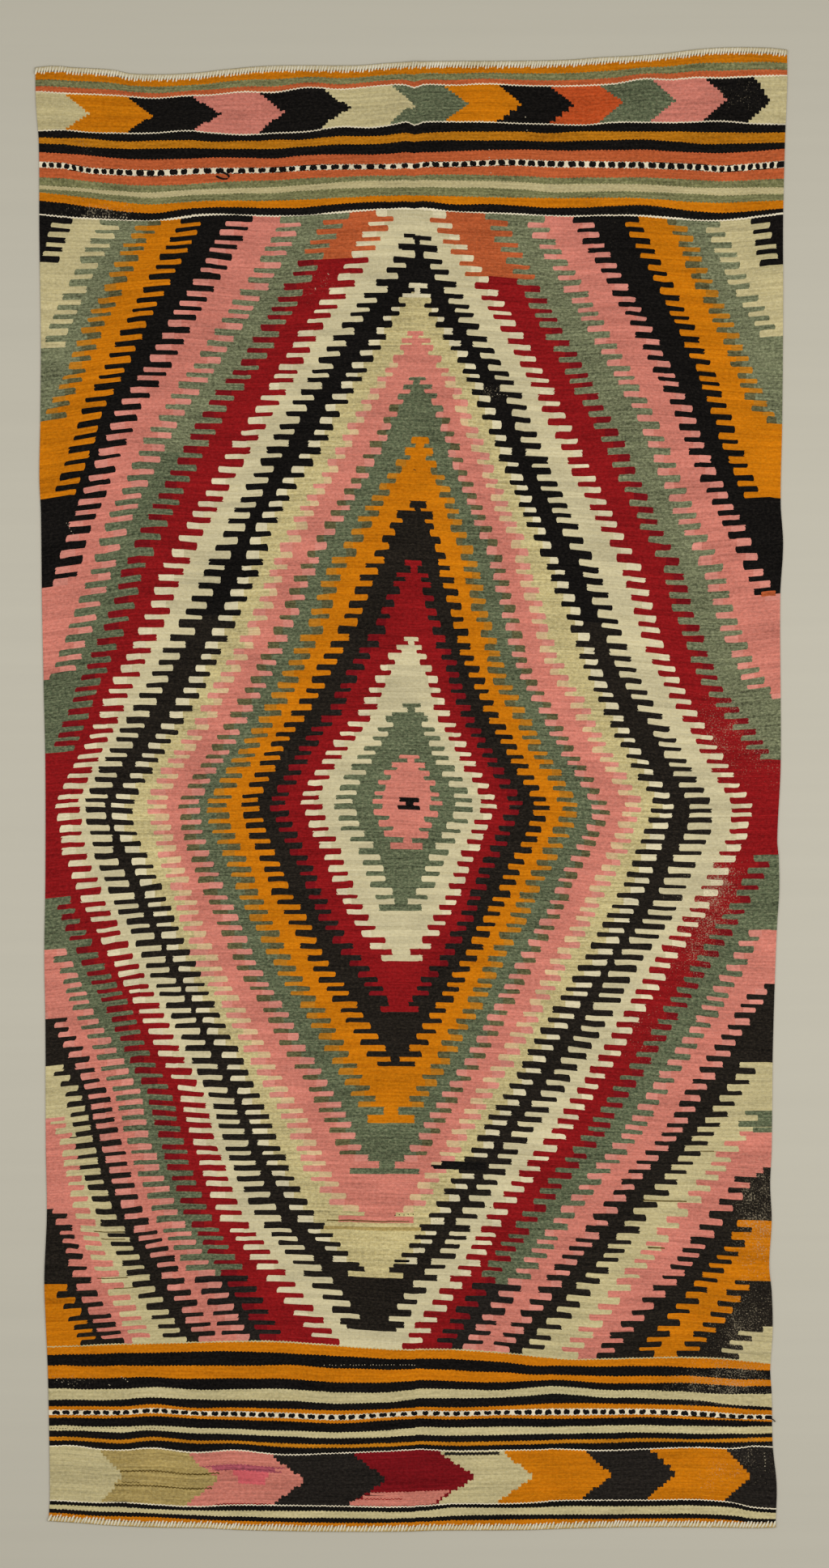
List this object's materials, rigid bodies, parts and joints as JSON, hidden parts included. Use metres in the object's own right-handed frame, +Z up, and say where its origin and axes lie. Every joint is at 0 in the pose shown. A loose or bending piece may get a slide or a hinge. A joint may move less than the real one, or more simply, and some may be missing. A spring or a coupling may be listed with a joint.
{
  "type": "kilim rug",
  "caption": "Long flat-woven wool rug laid flat, with an overcast binding along each end, for use on a floor.",
  "frame": {"origin": "on the floor under the middle of the rug's bounding box", "axes": "+Y along the warp towards the end with the coral stripes, +X across towards the tips of that end's arrows, +Z up"},
  "size_m": [1.5042, 2.9712, 0.0063],
  "materials": {
    "woven_wool": "matt weft-faced wool weave in black, red, pink, coral, gold, grey-green and cream, with fine ribs along the warp",
    "overcast_wool": "matt off-white wool in slanting overcast stitches"
  },
  "bodies": {
    "root": {"kilim_cloth": "woven_wool", "end_binding_top": "overcast_wool", "end_binding_bottom": "overcast_wool"}
  },
  "joints": []
}
